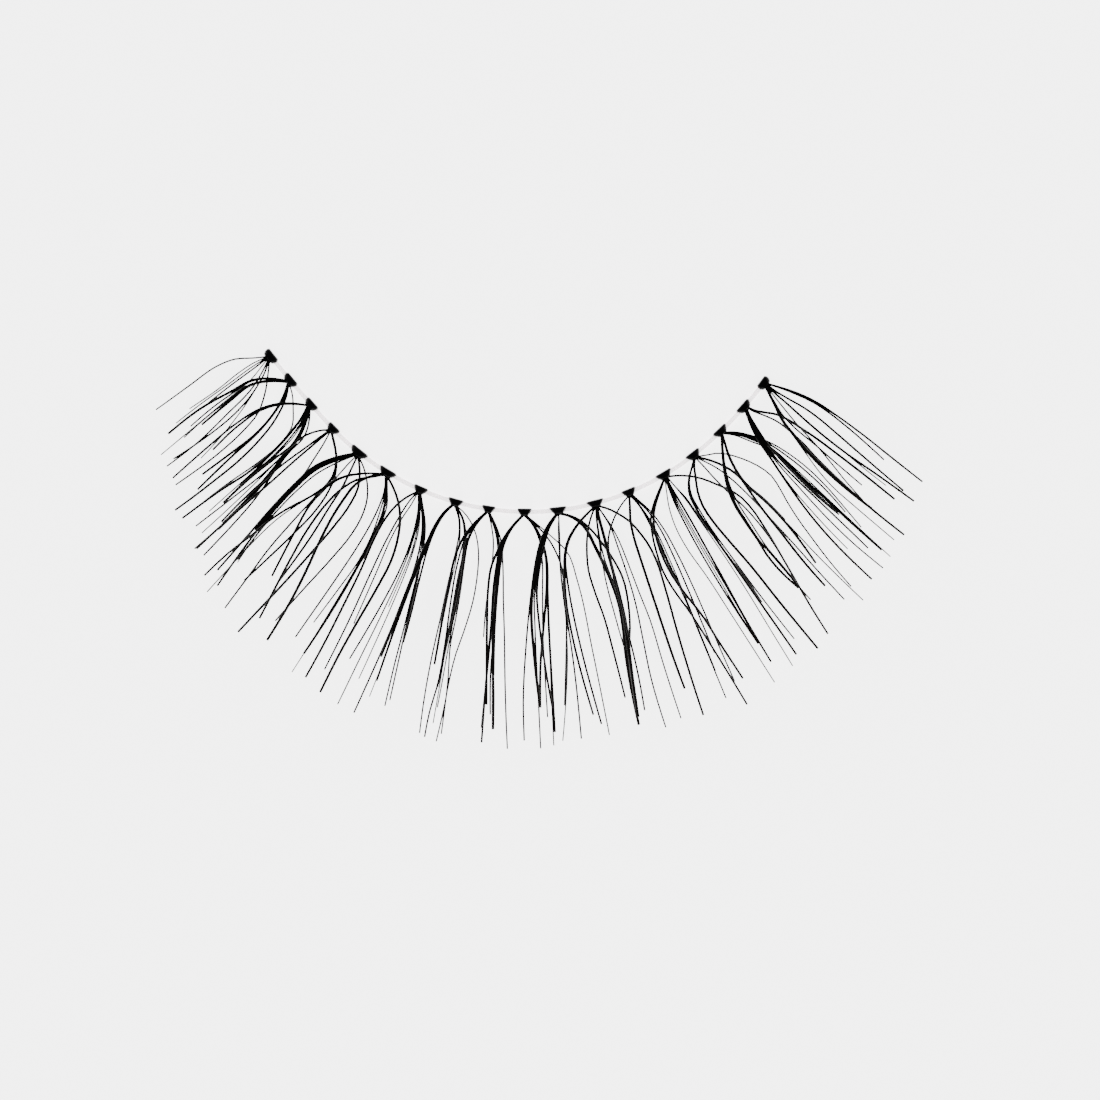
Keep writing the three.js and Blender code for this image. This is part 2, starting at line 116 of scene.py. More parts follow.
CLUSTERS = (
    ClusterRow(at=0.0, knot=0.95, fullness=1.0, lashes=(
        Lash(((-35, 55), (-85, 130), (-105, 200), (-113, 330), (-118, 510)), SLIM),
        Lash(((-22, 70), (-29, 140), (-28, 260), (-35, 400)), FINE),
        Lash(((-12, 70), (-18, 200), (-24, 350), (-22, 480)), FINE),
        Lash(((-4, 70), (-8, 200), (-5, 360)), SLIM),
        Lash(((5, 40), (20, 100), (30, 300), (43, 610)), FINE),
        Lash(((25, 60), (52, 130), (78, 300), (93, 450), (92, 620)), SLIM),
        Lash(((33, 55), (65, 130), (95, 270), (100, 380), (85, 580)), SLIM),
        Lash(((30, 50), (70, 140), (120, 310), (155, 490)), FINE),
        Lash(((40, 45), (105, 115), (152, 190), (172, 280), (183, 400), (178, 640)), SLIM),
    )),
    ClusterRow(at=0.052, knot=0.95, fullness=0.8, lashes=(
        Lash(((-50, 50), (-100, 120), (-120, 220), (-143, 350), (-150, 530))),
        Lash(((-50, 52), (-97, 120), (-112, 240), (-115, 440)), SLIM),
        Lash(((-45, 55), (-90, 130), (-101, 280), (-95, 490)), SLIM),
        Lash(((-40, 55), (-85, 130), (-93, 250), (-90, 400))),
        Lash(((30, 60), (58, 130), (80, 250), (78, 380), (70, 530))),
        Lash(((35, 60), (65, 150), (83, 250), (90, 380), (105, 585))),
        Lash(((40, 55), (85, 150), (112, 270), (122, 380), (120, 520), (113, 710))),
        Lash(((40, 26), (100, 68), (150, 115), (175, 200), (178, 300), (165, 500), (160, 620)), SLIM),
    )),
    ClusterRow(at=0.106, knot=0.9, fullness=0.6, lashes=(
        Lash(((-50, 50), (-95, 105), (-125, 170), (-145, 290), (-148, 420), (-143, 630))),
        Lash(((-48, 52), (-90, 105), (-118, 170), (-130, 280), (-126, 430))),
        Lash(((16, 70), (32, 150), (44, 280), (42, 370), (22, 520), (8, 710))),
        Lash(((18, 70), (38, 160), (51, 300), (56, 450), (58, 610)), FINE),
        Lash(((21, 60), (44, 140), (58, 250), (60, 400), (67, 540)), SLIM),
        Lash(((24, 55), (50, 130), (63, 250), (68, 400), (73, 540)), FINE),
        Lash(((30, 60), (62, 130), (80, 220), (85, 330), (80, 500), (68, 690)), SLIM),
        Lash(((35, 60), (70, 150), (85, 280), (100, 500), (108, 690)), FINE),
        Lash(((36, 60), (66, 120), (85, 210), (107, 310), (128, 450), (142, 630))),
        Lash(((36, 58), (68, 120), (83, 210), (98, 300), (118, 430), (130, 600)), SLIM),
        Lash(((38, 56), (70, 120), (90, 210), (115, 350), (128, 500), (137, 755)), SLIM),
        Lash(((45, 50), (80, 105), (90, 200), (108, 290), (140, 420), (165, 580), (183, 745)), SLIM),
    )),
    ClusterRow(at=0.161, knot=0.82, fullness=0.5, lashes=(
        Lash(((-35, 50), (-58, 100), (-70, 200), (-82, 320), (-90, 540))),
        Lash(((-12, 60), (-22, 140), (-36, 250), (-42, 380), (-38, 600))),
        Lash(((-6, 80), (-13, 200), (-18, 350), (-24, 550), (-27, 750))),
        Lash(((15, 60), (38, 150), (53, 210), (62, 320), (75, 450)), SLIM),
        Lash(((40, 36), (100, 78), (138, 130), (152, 230),
              (162, 380), (178, 540), (203, 670), (233, 835)), SLIM),
        Lash(((40, 35), (100, 76), (145, 125), (178, 200), (197, 290), (203, 420), (203, 560), (202, 700))),
        Lash(((42, 34), (98, 74), (138, 120), (152, 190), (165, 300), (200, 410), (235, 510), (270, 605))),
    )),
    ClusterRow(at=0.22, knot=1.12, fullness=0.5, lashes=(
        Lash(((-58, 72), (-104, 155), (-124, 270), (-135, 400), (-140, 550), (-145, 745))),
        Lash(((-55, 75), (-100, 158), (-120, 272), (-130, 400), (-128, 520)), SLIM),
        Lash(((-51, 78), (-95, 163), (-115, 278), (-124, 400), (-120, 580), (-103, 795))),
        Lash(((-46, 82), (-89, 170), (-108, 283), (-117, 400), (-113, 550), (-103, 670)), FINE),
        Lash(((-41, 87), (-80, 183), (-99, 290), (-110, 420), (-112, 560), (-110, 660)), SLIM),
        Lash(((-2, 50), (-6, 140), (-14, 250)), SLIM),
        Lash(((20, 75), (37, 150), (48, 250), (68, 400), (80, 620))),
        Lash(((50, 55), (90, 115), (108, 190), (113, 300), (110, 420), (100, 650), (83, 890))),
        Lash(((45, 30), (100, 70), (150, 130), (178, 200),
              (192, 300), (190, 400), (178, 600), (172, 760)), SLIM),
    )),
    ClusterRow(at=0.279, knot=1.08, fullness=0.3, lashes=(
        Lash(((-50, 35), (-100, 68), (-150, 115), (-185, 177), (-220, 253),
              (-270, 337), (-305, 410), (-343, 520), (-377, 610), (-416, 756))),
        Lash(((-50, 37), (-100, 72), (-150, 122), (-191, 206), (-233, 282),
              (-284, 396), (-311, 493), (-327, 572), (-373, 808)), FINE),
        Lash(((-45, 50), (-90, 90), (-125, 155), (-148, 250),
              (-157, 380), (-152, 520), (-142, 680), (-134, 790))),
        Lash(((-50, 50), (-86, 110), (-96, 190), (-98, 270),
              (-90, 380), (-72, 520), (-60, 650), (-57, 850)), BOLD),
        Lash(((25, 60), (45, 140), (53, 220), (55, 320), (50, 500), (35, 780)), SLIM),
        Lash(((30, 60), (58, 150), (80, 250), (90, 370), (83, 500), (68, 690)), SLIM),
        Lash(((33, 60), (65, 130), (88, 240), (98, 360), (103, 500), (100, 820)), BOLD),
        Lash(((35, 60), (70, 140), (90, 250), (98, 450), (97, 910)), FINE),
        Lash(((36, 58), (72, 120), (90, 210), (100, 330), (100, 450)), SLIM),
        Lash(((45, 35), (100, 78), (145, 135), (180, 210), (205, 300),
              (215, 420), (220, 600), (225, 750), (240, 920)), BOLD),
    )),
    ClusterRow(at=0.342, knot=0.85, fullness=0.2, lashes=(
        Lash(((-38, 50), (-65, 100), (-85, 170), (-93, 260),
              (-92, 400), (-100, 580), (-108, 720), (-123, 900))),
        Lash(((-22, 60), (-35, 140), (-45, 250), (-50, 400), (-54, 600), (-62, 840)), SLIM),
        Lash(((-8, 60), (-22, 140), (-30, 220), (-30, 400), (-28, 620)), SLIM),
        Lash(((18, 60), (40, 140), (53, 240), (55, 340), (45, 480), (30, 620), (14, 760)), SLIM),
        Lash(((20, 60), (45, 140), (60, 240), (65, 360), (60, 550), (50, 750), (44, 950)), FINE),
        Lash(((22, 60), (50, 140), (68, 240), (74, 360), (75, 500)), FINE),
        Lash(((24, 60), (56, 140), (75, 240), (83, 360), (85, 500), (82, 700), (80, 820)), FINE),
        Lash(((30, 60), (66, 130), (93, 220), (110, 330), (119, 500), (123, 700), (120, 955)), SLIM),
        Lash(((32, 60), (70, 130), (98, 210), (118, 320), (130, 470), (142, 660), (150, 870)), FINE),
        Lash(((35, 58), (75, 125), (105, 210), (130, 310), (152, 430), (172, 540), (235, 850)), SLIM),
        Lash(((36, 57), (77, 125), (107, 210), (128, 320),
              (150, 450), (170, 570), (190, 700), (225, 880)), SLIM),
    )),
    ClusterRow(at=0.405, knot=0.88, fullness=0.1, lashes=(
        Lash(((-32, 50), (-55, 115), (-67, 190), (-82, 290), (-103, 480), (-125, 700)), BOLD),
        Lash(((-30, 50), (-53, 120), (-63, 200), (-77, 310), (-95, 500), (-115, 800))),
        Lash(((-26, 50), (-50, 130), (-58, 220), (-57, 340), (-53, 500), (-52, 620))),
        Lash(((25, 50), (47, 110), (56, 200), (60, 320), (70, 480), (82, 670), (100, 850), (115, 960)), SLIM),
        Lash(((30, 50), (52, 110), (65, 210), (72, 340), (85, 500), (95, 620)), FINE),
        Lash(((40, 50), (73, 120), (90, 220), (105, 360), (122, 530), (136, 760))),
        Lash(((42, 50), (80, 130), (100, 250), (122, 450), (135, 600), (157, 840)), FINE),
        Lash(((43, 48), (83, 130), (110, 280), (130, 450), (140, 580), (170, 720), (205, 940)), SLIM),
        Lash(((50, 35), (95, 75), (120, 110), (147, 170), (170, 270), (182, 380),
              (180, 500), (172, 620), (175, 720), (183, 820), (190, 975)), SLIM),
    )),
    ClusterRow(at=0.462, knot=0.78, fullness=0.0, lashes=(
        Lash(((-43, 58), (-80, 120), (-105, 200), (-116, 330), (-123, 500), (-128, 670))),
        Lash(((-41, 60), (-76, 130), (-94, 240), (-98, 400),
              (-95, 580), (-100, 750), (-117, 870), (-122, 970)), SLIM),
        Lash(((-36, 62), (-62, 130), (-68, 220), (-67, 320), (-73, 420), (-82, 520))),
        Lash(((-38, 60), (-67, 130), (-80, 240), (-88, 450), (-92, 650), (-95, 910)), FINE),
        Lash(((20, 60), (38, 120), (47, 200), (46, 300), (50, 420), (60, 530)), SLIM),
        Lash(((30, 60), (58, 130), (74, 240), (80, 400), (88, 580), (107, 900))),
        Lash(((32, 58), (63, 130), (80, 220), (88, 350), (100, 520), (120, 680), (150, 900))),
        Lash(((36, 55), (70, 120), (95, 230), (117, 370), (140, 500), (165, 650), (225, 970)), SLIM),
    )),
    ClusterRow(at=0.523, knot=0.82, fullness=0.1, lashes=(
        Lash(((-50, 60), (-90, 120), (-112, 170), (-135, 230),
              (-147, 320), (-150, 450), (-150, 620), (-147, 800))),
        Lash(((-50, 60), (-92, 130), (-117, 250), (-135, 500), (-150, 700), (-163, 955))),
        Lash(((-48, 60), (-88, 130), (-108, 220), (-115, 350),
              (-125, 500), (-125, 620), (-118, 750), (-116, 900))),
        Lash(((-46, 62), (-84, 130), (-102, 220), (-110, 360), (-117, 520), (-120, 680))),
        Lash(((-45, 62), (-80, 130), (-100, 250), (-118, 500), (-130, 650), (-131, 840)), SLIM),
        Lash(((40, 56), (70, 115), (88, 170), (96, 250), (94, 350), (83, 500), (75, 620), (78, 810))),
        Lash(((35, 55), (63, 115), (77, 200), (80, 320), (83, 500), (93, 680), (106, 850)), SLIM),
        Lash(((42, 56), (73, 115), (92, 180), (100, 300), (106, 450), (116, 620), (137, 910))),
        Lash(((42, 55), (76, 115), (96, 190), (103, 350), (110, 500), (133, 965)), FINE),
        Lash(((50, 55), (100, 110), (135, 170), (158, 230),
              (170, 330), (181, 460), (182, 600), (176, 800)), SLIM),
        Lash(((55, 52), (110, 98), (180, 165), (225, 290), (290, 575), (365, 920)), FINE),
    )),
    ClusterRow(at=0.58, knot=0.98, fullness=0.0, lashes=(
        Lash(((-52, 59), (-92, 129), (-122, 217), (-150, 330),
              (-170, 420), (-200, 570), (-235, 780), (-248, 930)), SLIM),
        Lash(((-50, 60), (-90, 130), (-118, 220), (-145, 320), (-160, 420), (-166, 580), (-165, 800)), BOLD),
        Lash(((-46, 64), (-83, 138), (-109, 221), (-137, 340), (-150, 480), (-165, 700), (-184, 970)), SLIM),
        Lash(((-43, 67), (-76, 144), (-102, 223), (-127, 330), (-132, 460), (-126, 620), (-115, 810))),
        Lash(((-3, 60), (-9, 140), (-17, 240), (-18, 380), (-11, 550), (-10, 950)), SLIM),
        Lash(((-6, 60), (-14, 150), (-20, 280), (-18, 420), (-30, 620), (-50, 750), (-90, 950)), FINE),
        Lash(((40, 27), (78, 55), (105, 90), (130, 155), (155, 225), (185, 320),
              (207, 420), (213, 520), (212, 620), (218, 750), (233, 920)), BOLD),
        Lash(((40, 27), (80, 55), (108, 90), (133, 155), (158, 225),
              (190, 320), (213, 430), (218, 550), (216, 650), (226, 860))),
        Lash(((45, 27), (90, 55), (130, 100), (165, 155), (200, 220),
              (235, 310), (247, 420), (243, 520), (230, 600), (222, 680))),
    )),
    ClusterRow(at=0.644, knot=1.0, fullness=0.0, lashes=(
        Lash(((-45, 33), (-100, 70), (-150, 120), (-180, 180), (-200, 260),
              (-220, 370), (-230, 500), (-233, 650), (-230, 845))),
        Lash(((-45, 36), (-100, 75), (-147, 125), (-175, 180),
              (-192, 270), (-203, 380), (-210, 550), (-205, 890))),
        Lash(((-28, 45), (-62, 110), (-85, 185), (-98, 260), (-95, 350), (-83, 470), (-82, 620), (-85, 810))),
        Lash(((-10, 50), (-20, 120), (-32, 220), (-40, 330), (-38, 480), (-33, 620)), SLIM),
        Lash(((-8, 50), (-16, 120), (-22, 220), (-12, 320),
              (-3, 420), (-10, 520), (-25, 640), (-40, 800)), SLIM),
        Lash(((0, 50), (0, 150), (-1, 270), (0, 400), (-4, 520), (-20, 640), (-35, 760), (-50, 900)), BOLD),
        Lash(((18, 50), (36, 110), (45, 200), (53, 300), (58, 420), (50, 600), (42, 750), (48, 970)), SLIM),
        Lash(((18, 45), (35, 90), (55, 170), (68, 270), (82, 400), (98, 530), (105, 700), (120, 950)), SLIM),
        Lash(((42, 33), (85, 70), (120, 110), (148, 165), (170, 220),
              (185, 290), (192, 420), (195, 600), (203, 800), (213, 960))),
    )),
    ClusterRow(at=0.704, knot=0.85, fullness=0.1, lashes=(
        Lash(((-35, 28), (-80, 60), (-120, 100), (-155, 150), (-175, 210),
              (-195, 310), (-215, 450), (-230, 580), (-255, 740), (-280, 860)), SLIM),
        Lash(((-17, 50), (-40, 115), (-52, 180), (-60, 270),
              (-70, 400), (-80, 550), (-88, 700), (-93, 840)), BOLD),
        Lash(((14, 55), (26, 120), (32, 200), (38, 320), (45, 450), (50, 600), (52, 820)), SLIM),
        Lash(((15, 55), (30, 120), (38, 200), (42, 320), (48, 480), (50, 700), (50, 940)), SLIM),
        Lash(((17, 55), (34, 120), (45, 200), (50, 320), (52, 480), (53, 620), (52, 800)), FINE),
        Lash(((22, 52), (45, 110), (62, 190), (70, 300), (75, 450), (77, 600), (77, 750)), SLIM),
        Lash(((26, 50), (54, 110), (75, 190), (90, 320), (98, 480), (102, 650), (110, 890)), SLIM),
    )),
    ClusterRow(at=0.77, knot=1.0, fullness=0.1, lashes=(
        Lash(((-35, 33), (-90, 75), (-135, 120), (-165, 180), (-190, 260),
              (-208, 350), (-208, 430), (-198, 530), (-192, 700), (-190, 990))),
        Lash(((-33, 36), (-85, 80), (-125, 125), (-155, 190), (-175, 270),
              (-183, 380), (-175, 470), (-160, 580), (-157, 700), (-150, 890))),
        Lash(((-20, 50), (-50, 125), (-70, 220), (-73, 310), (-62, 450), (-55, 650), (-43, 970)), FINE),
        Lash(((-10, 50), (-20, 110), (-28, 220), (-32, 350), (-31, 500), (-27, 650), (-21, 800)), SLIM),
        Lash(((-7, 50), (-14, 110), (-19, 220), (-22, 350), (-22, 500), (-22, 650), (-19, 800)), FINE),
        Lash(((-4, 50), (-8, 110), (-11, 220), (-13, 350), (-13, 500), (-16, 650), (-18, 780)), FINE),
        Lash(((0, 50), (0, 110), (0, 220), (-3, 350), (-6, 500), (-12, 650), (-14, 890))),
        Lash(((12, 50), (24, 125), (33, 250), (45, 420), (53, 600), (54, 800), (54, 950)), FINE),
        Lash(((12, 50), (30, 130), (36, 220), (50, 340), (63, 450), (75, 570), (80, 660)), SLIM),
        Lash(((35, 25), (85, 55), (130, 95), (165, 140), (195, 180), (225, 230),
              (243, 300), (250, 400), (250, 600), (248, 800), (250, 910))),
    )),
    ClusterRow(at=0.83, knot=0.94, fullness=0.2, lashes=(
        Lash(((-35, 35), (-80, 70), (-110, 110), (-130, 190),
              (-140, 300), (-147, 420), (-158, 600), (-178, 910))),
        Lash(((-35, 37), (-78, 72), (-105, 115), (-122, 200),
              (-132, 300), (-137, 420), (-143, 620), (-142, 855)), SLIM),
        Lash(((-20, 30), (-50, 78), (-80, 130), (-100, 190), (-106, 260),
              (-103, 380), (-97, 500), (-97, 700), (-93, 945))),
        Lash(((3, 50), (8, 120), (20, 220), (34, 300), (39, 380), (34, 500), (18, 610), (3, 700)), SLIM),
        Lash(((20, 50), (46, 110), (64, 180), (80, 290),
              (90, 410), (100, 550), (108, 700), (120, 855)), SLIM),
        Lash(((30, 45), (65, 100), (90, 165), (100, 250), (115, 330), (127, 450), (128, 550), (123.5, 665))),
        Lash(((30, 45), (63, 100), (90, 170), (112, 320), (130, 450), (145, 620), (182, 905)), FINE),
        Lash(((45, 35), (80, 53), (110, 80), (140, 120), (170, 170), (190, 215), (203, 265),
              (200, 320), (190, 380), (180, 470), (175, 580), (172, 700), (176, 830)), SLIM),
    )),
    ClusterRow(at=0.891, knot=0.96, fullness=0.3, lashes=(
        Lash(((-28, 35), (-90, 110), (-135, 175), (-168, 250), (-188, 340),
              (-203, 430), (-220, 500), (-228, 580), (-223, 690))),
        Lash(((-26, 36), (-88, 112), (-130, 178), (-163, 255), (-183, 345),
              (-200, 440), (-207, 550), (-215, 660), (-220, 760)), SLIM),
        Lash(((-25, 37), (-86, 114), (-126, 180), (-155, 260),
              (-175, 360), (-197, 480), (-205, 600), (-222, 720)), SLIM),
        Lash(((-18, 40), (-45, 90), (-68, 160), (-85, 250),
              (-100, 340), (-113, 470), (-128, 620), (-135, 760))),
        Lash(((-15, 40), (-40, 90), (-63, 160), (-73, 220), (-65, 330), (-65, 450)), SLIM),
        Lash(((26, 46), (60, 115), (89, 180), (100, 280), (105, 420), (115, 580)), SLIM),
        Lash(((29, 43), (66, 111), (94, 180), (105, 280), (113, 420), (120, 580)), FINE),
        Lash(((31, 41), (71, 108), (98, 180), (108, 320), (118, 500), (125, 650), (135, 815))),
        Lash(((33, 38), (78, 105), (102, 180), (115, 320), (128, 600), (144, 860)), FINE),
        Lash(((34, 38), (80, 105), (108, 175), (130, 280), (142, 400), (143, 500), (137, 600)), SLIM),
        Lash(((35, 37), (82, 105), (113, 170), (140, 270),
              (155, 380), (157, 470), (150, 600), (143, 690)), SLIM),
    )),
    ClusterRow(at=0.948, knot=1.0, fullness=0.4, lashes=(
        Lash(((-18, 31), (-43, 78), (-68, 143), (-88, 220), (-115, 320),
              (-140, 420), (-160, 520), (-178, 650), (-193, 865))),
        Lash(((-16, 32), (-40, 81), (-65, 145), (-85, 220),
              (-112, 320), (-130, 410), (-142, 500), (-161, 710)), FINE),
        Lash(((-14, 34), (-36, 85), (-60, 150), (-83, 250),
              (-100, 380), (-120, 550), (-130, 700), (-128, 870)), SLIM),
        Lash(((-11, 36), (-31, 87), (-54, 150), (-75, 250), (-84, 380), (-90, 500), (-106, 770)), SLIM),
        Lash(((-9, 37), (-27, 89), (-47, 156), (-65, 250), (-75, 360), (-80, 480), (-77, 590)), SLIM),
        Lash(((10, 35), (30, 90), (45, 140), (50, 200), (50, 280), (40, 360), (33, 450), (30, 600)), SLIM),
        Lash(((15, 35), (40, 80), (65, 120), (80, 170), (90, 240),
              (98, 300), (107, 420), (117, 580), (123, 720))),
    )),
    ClusterRow(at=1.0, knot=0.85, fullness=1.0, lashes=(
        Lash(((-15, 30), (-44, 90), (-80, 160), (-105, 240), (-135, 335),
              (-155, 400), (-173, 480), (-185, 600), (-200, 820)), FINE),
        Lash(((-14, 30), (-44, 90), (-79, 160), (-100, 240),
              (-122, 330), (-135, 420), (-145, 530), (-151, 670)), BOLD),
        Lash(((-14, 31), (-43, 90), (-78, 160), (-98, 230),
              (-118, 320), (-135, 450), (-148, 600), (-156, 840))),
        Lash(((-10, 40), (-36, 140), (-55, 220), (-75, 330), (-100, 430), (-125, 520), (-145, 620)), SLIM),
        Lash(((-13, 34), (-36, 85), (-58, 140), (-70, 200), (-78, 320), (-88, 460), (-95, 580)), SLIM),
        Lash(((-3, 40), (-9, 120), (-18, 220), (-26, 340), (-28, 450), (-24, 600), (-22, 790))),
        Lash(((-4, 40), (-12, 140), (-22, 270), (-30, 460), (-37, 660)), FINE),
        Lash(((3, 40), (9, 120), (18, 190), (20, 260), (14, 370), (5, 500), (-3, 620), (-10, 730))),
        Lash(((12, 30), (30, 85), (47, 150), (60, 220), (64, 300), (62, 400), (55, 500), (45, 590)), SLIM),
        Lash(((14, 30), (35, 85), (55, 150), (69, 220), (75, 320), (75, 450), (70, 600), (67, 770))),
    )),
)


class Socket:
    """A shader socket that stands in a Python expression: each operator adds one Math node."""

    def __init__(self, tree: bpy.types.NodeTree, output: bpy.types.NodeSocket) -> None:
        """Keeps the tree and the socket that the value comes out of."""
        self.tree = tree
        self.output = output

    def _maths(self, operation: str, other: "Socket | float") -> "Socket":
        """Adds a Math node with this value and another, and gives its result."""
        node = self.tree.nodes.new("ShaderNodeMath")
        node.operation = operation
        feed(self.tree, node.inputs[0], self)
        feed(self.tree, node.inputs[1], other)
        return Socket(self.tree, node.outputs[0])

    def __add__(self, other: "Socket | float") -> "Socket":
        """Self plus other."""
        return self._maths("ADD", other)

    def __mul__(self, other: "Socket | float") -> "Socket":
        """Self times other."""
        return self._maths("MULTIPLY", other)

    def __pow__(self, other: "Socket | float") -> "Socket":
        """Self to the power of other."""
        return self._maths("POWER", other)

    __radd__ = __add__
    __rmul__ = __mul__


def feed(tree: bpy.types.NodeTree, slot: bpy.types.NodeSocket, value: Any) -> None:
    """Puts a constant, a Socket or another node's output into a socket."""
    if isinstance(value, Socket):
        value = value.output
    if isinstance(value, bpy.types.NodeSocket):
        tree.links.new(value, slot)
    else:
        slot.default_value = value


class Dressing:
    """One material, with its surface shader."""

    def __init__(self, name: str) -> None:
        """Starts a material that shows nothing but its surface shader."""
        self.material = bpy.data.materials.new(name)
        self.material.use_nodes = True
        self.tree = self.material.node_tree
        self.tree.nodes.clear()
        self.shader = self.tree.nodes.new("ShaderNodeBsdfPrincipled")
        end = self.tree.nodes.new("ShaderNodeOutputMaterial")
        self.tree.links.new(self.shader.outputs["BSDF"], end.inputs["Surface"])

    def node(self, kind: str, settings: Values | None = None, values: Values | None = None) -> bpy.types.Node:
        """Adds a node.

        Args:
            kind: the node's type.
            settings: its own settings, which are set first.
            values: what goes into its sockets: a number, a vector, a Socket, or an output of another node.

        Returns:
            The node.
        """
        node = self.tree.nodes.new(kind)
        for name, setting in (settings or {}).items():
            setattr(node, name, setting)
        for name, value in (values or {}).items():
            feed(self.tree, node.inputs[name], value)
        return node

    def surface(self, **values: Any) -> bpy.types.Material:
        """Sets the shader's sockets, each named with underscores for blanks, and gives the material."""
        for name, value in values.items():
            feed(self.tree, self.shader.inputs[name.replace("_", " ")], value)
        return self.material

    def grain(self, scale: float, detail: float = 2.0) -> Socket:
        """A soft noise in the piece's own place, from 0 to 1, with so many grains to the metre."""
        place = self.node("ShaderNodeTexCoord").outputs["Object"]
        noise = self.node("ShaderNodeTexNoise", values={"Vector": place, "Scale": scale, "Detail": detail})
        return Socket(self.tree, noise.outputs["Fac"])

    def mix(self, share: Socket, start: Colour, finish: Colour) -> bpy.types.NodeSocket:
        """The colour that lies at that share of the way from start to finish."""
        first, second, result = 6, 7, 2  # the node's colour sockets, whose names its other kinds share
        colours = {first: (*start, 1.0), second: (*finish, 1.0)}
        return self.node("ShaderNodeMix", {"data_type": "RGBA"}, {0: share, **colours}).outputs[result]


@dataclass(frozen=True)
class FibreFinish:
    """Black synthetic fibre with a soft sheen, a little warmer where it thins out to its tip.

    The warmth is a power of the share along the fibre, times the least warmth plus the fibre's chance number
    times the rest.
    """

    root: Colour = (0.0010, 0.0009, 0.0009)
    tip: Colour = (0.008, 0.006, 0.005)
    warm_power: float = 2.0
    warm_least: float = 0.45
    roughness: float = 0.34
    uneven: float = 0.16
    grains: float = 9000.0
    specular: float = 0.04

    def dress(self, uv_name: str) -> bpy.types.Material:
        """Makes the material.

        Args:
            uv_name: the layer that holds the share along the fibre and the fibre's own chance number.

        Returns:
            The material.
        """
        dressing = Dressing("lash_fibre")
        layer = dressing.node("ShaderNodeUVMap", {"uv_map": uv_name})
        parts = dressing.node("ShaderNodeSeparateXYZ", values={"Vector": layer.outputs["UV"]})
        along, chance = (Socket(dressing.tree, parts.outputs[name]) for name in "XY")
        warmth = along**self.warm_power * (self.warm_least + (1 - self.warm_least) * chance)
        return dressing.surface(
            Base_Color=dressing.mix(warmth, self.root, self.tip),
            Roughness=self.roughness + self.uneven * dressing.grain(self.grains),
            Specular_IOR_Level=self.specular,
        )


@dataclass(frozen=True)
class GlueFinish:
    """Set black glue: smooth and glossy, with the faint dimples of a drop that dried by itself."""

    thin: Colour = (0.0008, 0.0008, 0.0010)
    thick: Colour = (0.0020, 0.0020, 0.0025)
    roughness: float = 0.24
    uneven: float = 0.18
    dimples: float = 6500.0
    detail: float = 3.0
    depth: float = 0.012
    strength: float = 0.5
    specular: float = 0.08

    def dress(self) -> bpy.types.Material:
        """Makes the material."""
        dressing = Dressing("lash_glue")
        grain = dressing.grain(self.dimples, self.detail)
        dents = {"Strength": self.strength, "Distance": self.depth * METRES, "Height": grain}
        return dressing.surface(
            Base_Color=dressing.mix(grain, self.thin, self.thick),
            Roughness=self.roughness + self.uneven * grain,
            Normal=dressing.node("ShaderNodeBump", values=dents).outputs["Normal"],
            Specular_IOR_Level=self.specular,
        )


@dataclass(frozen=True)
class FilmFinish:
    """Clear film with a faint pink cast, a little milkier in places."""

    clear: Colour = (0.98, 0.80, 0.85)
    milky: Colour = (0.98, 0.86, 0.90)
    alpha: float = 0.36
    roughness: float = 0.28
    uneven: float = 0.1
    grains: float = 1800.0

    def dress(self) -> bpy.types.Material:
        """Makes the material."""
        dressing = Dressing("band_film")
        grain = dressing.grain(self.grains)
        return dressing.surface(
            Base_Color=dressing.mix(grain, self.clear, self.milky),
            Roughness=self.roughness + self.uneven * grain,
            Alpha=self.alpha,
        )


@dataclass(frozen=True)
class FloorFinish:
    """Plain white paper that glows evenly, as on a light table."""

    colour: Colour = (0.93, 0.93, 0.93)
    roughness: float = 0.9
    specular: float = 0.1
    glow: float = 4.6

    def dress(self) -> bpy.types.Material:
        """Makes the material."""
        return Dressing("white_paper").surface(
            Base_Color=(*self.colour, 1.0),
            Roughness=self.roughness,
            Specular_IOR_Level=self.specular,
            Emission_Color=WHITE,
            Emission_Strength=self.glow,
        )


def unit(vectors: np.ndarray) -> np.ndarray:
    """Vectors of the same directions, each over its own length."""
    return vectors / np.linalg.norm(vectors, axis=-1, keepdims=True)


def circle(corners: int) -> np.ndarray:
    """Angles in even steps all round, in radians."""
    return np.arange(corners) * math.tau / corners


def with_height(flat: np.ndarray, height: np.ndarray) -> np.ndarray:
    """Flat places, whose last axis holds two coordinates, with a height as the third."""
    return np.concatenate([flat, np.broadcast_to(height, flat.shape[:-1])[..., None]], axis=-1)


